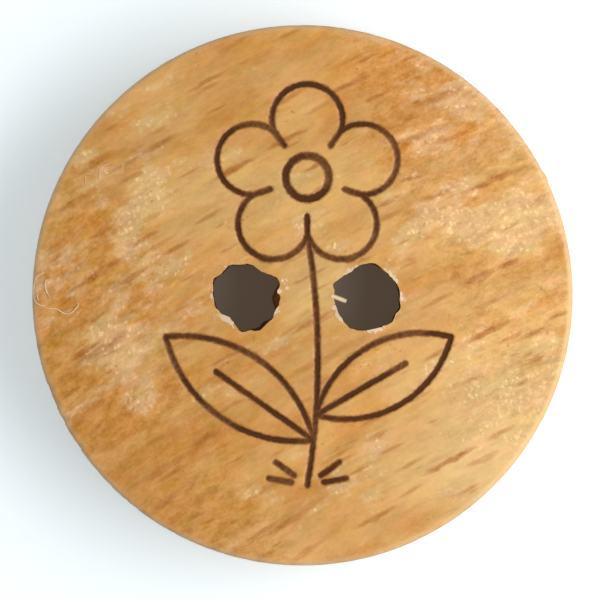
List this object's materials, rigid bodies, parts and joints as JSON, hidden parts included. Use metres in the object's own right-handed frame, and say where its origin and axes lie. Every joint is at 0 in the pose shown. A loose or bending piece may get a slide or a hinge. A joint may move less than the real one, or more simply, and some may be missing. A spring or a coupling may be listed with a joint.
{
  "type": "wooden button",
  "caption": "Round flat sew-through button of turned wood, with thread holes side by side, softly rounded rims and a flower burnt into its face as a line drawing.",
  "frame": {"origin": "middle of the round back face, which the button lies on", "axes": "+Z out of the burnt face, +X from the left thread hole to the right one, +Y towards the flower's head"},
  "size_m": [0.018, 0.018, 0.0035],
  "materials": {
    "wood": "satin clear lacquer over beech, with burnt brown lines"
  },
  "bodies": {
    "root": {"button": "wood"}
  },
  "joints": []
}
